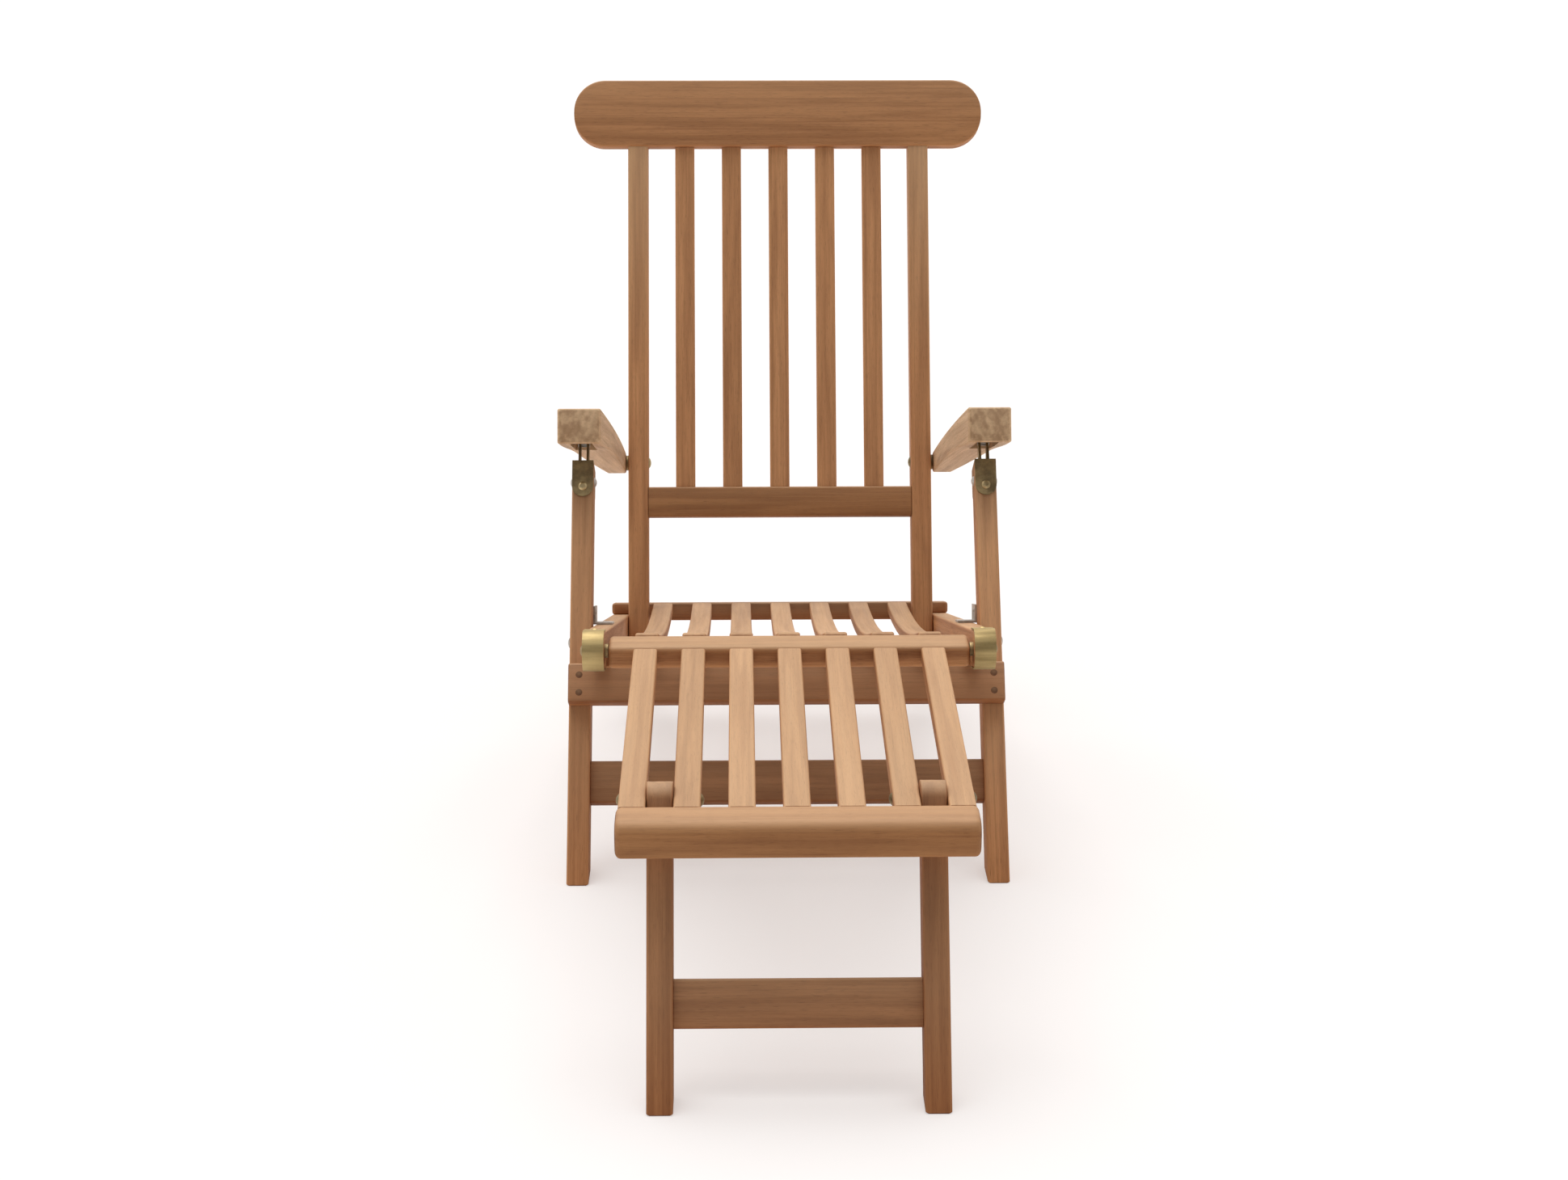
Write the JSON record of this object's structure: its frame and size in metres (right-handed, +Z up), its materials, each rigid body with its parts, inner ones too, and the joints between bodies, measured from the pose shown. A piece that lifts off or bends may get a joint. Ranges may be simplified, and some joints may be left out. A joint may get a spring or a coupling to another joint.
{
  "type": "deck chair",
  "caption": "Folding teak deck chair with a slatted reclining back, dished slatted seat, notched arms and a hinged footrest on its own folding legs.",
  "frame": {"origin": "on the floor, at the middle of the chair's length and width", "axes": "+X to the right as seen from the front, -Y towards the footrest, +Z up"},
  "size_m": [0.606, 1.6456, 0.9179],
  "materials": {
    "teak": "oiled teak with a fine sanded face",
    "plug_teak": "dark end grain teak plugs",
    "brass": "dull weathered brass",
    "steel": "plain zinc steel"
  },
  "bodies": {
    "seat_frame": {"rail_left": "teak", "rail_right": "teak", "seat_front_bar": "teak", "seat_rear_bar": "teak", "seat_slat_1": "teak", "seat_slat_2": "teak", "seat_slat_3": "teak", "seat_slat_4": "teak", "seat_slat_5": "teak", "seat_slat_6": "teak", "seat_slat_7": "teak", "rail_cap_left": "brass", "rail_cap_right": "brass", "rail_cap_screws": "brass", "footrest_hinge_bolts": "brass"},
    "back_pivots": {"back_pivot_bolts": "brass"},
    "back_frame": {"stile_left": "teak", "stile_right": "teak", "headboard": "teak", "back_bottom_rail": "teak", "back_slat_1": "teak", "back_slat_2": "teak", "back_slat_3": "teak", "back_slat_4": "teak", "back_slat_5": "teak"},
    "arm_bolts": {"arm_pivot_bolts": "brass", "arm_spacers": "brass"},
    "arms": {"arm_left": "teak", "arm_right": "teak", "rack_left": "brass", "rack_right": "brass"},
    "leg_frame": {"front_leg_left": "teak", "front_leg_right": "teak", "crossbar": "teak", "leg_stretcher": "teak", "crossbar_plugs": "teak", "saddle_left": "brass", "saddle_right": "brass", "saddle_screws": "brass", "catch_pins": "steel", "catch_bolts": "steel", "stop_bracket_left": "steel", "stop_bracket_right": "steel", "bracket_screws": "steel", "leg_pivot_bolts": "steel", "leg_pivot_washers": "steel"},
    "footrest": {"footrest_rear_bar": "teak", "footrest_front_bar": "teak", "footrest_slat_1": "teak", "footrest_slat_2": "teak", "footrest_slat_3": "teak", "footrest_slat_4": "teak", "footrest_slat_5": "teak", "footrest_slat_6": "teak", "footrest_slat_7": "teak", "footrest_leg_bolts": "brass"},
    "footrest_legs": {"footrest_leg_left": "teak", "footrest_leg_right": "teak", "footrest_leg_stretcher": "teak"}
  },
  "joints": [
    {"name": "fold", "type": "hinge", "parent": "seat_frame", "child": "back_pivots", "pos_m": [0, 0.43079, 0.14353], "axis": [1, 0, 0], "range_deg": [0, 82]},
    {"name": "recline", "type": "hinge", "parent": "back_pivots", "child": "back_frame", "pos_m": [0, 0.43079, 0.14353], "axis": [1, 0, 0], "range_deg": [-11, 0]},
    {"name": "arm_follow", "type": "hinge", "parent": "back_frame", "child": "arm_bolts", "pos_m": [0, 0.52002, 0.37599], "axis": [1, 0, 0], "range_deg": [0, 9.7]},
    {"name": "arm_lift", "type": "hinge", "parent": "arm_bolts", "child": "arms", "pos_m": [0, 0.52002, 0.37599], "axis": [1, 0, 0], "range_deg": [-95.96, 0]},
    {"name": "leg_fold", "type": "hinge", "parent": "seat_frame", "child": "leg_frame", "pos_m": [0, -0.00388, 0.26], "axis": [1, 0, 0], "range_deg": [0, 91.86]},
    {"name": "footrest_hinge", "type": "hinge", "parent": "seat_frame", "child": "footrest", "pos_m": [0, -0.2357, 0.32212], "axis": [1, 0, 0], "range_deg": [0, 90]},
    {"name": "footrest_leg_hinge", "type": "hinge", "parent": "footrest", "child": "footrest_legs", "pos_m": [0, -0.66551, 0.29006], "axis": [1, 0, 0], "range_deg": [0, 105]}
  ],
  "couplings": [
    {"joint": "arm_follow", "follows": "recline", "ratio": -0.88},
    {"joint": "arm_lift", "follows": "fold", "ratio": -1.17},
    {"joint": "leg_fold", "follows": "fold", "ratio": 1.12}
  ]
}
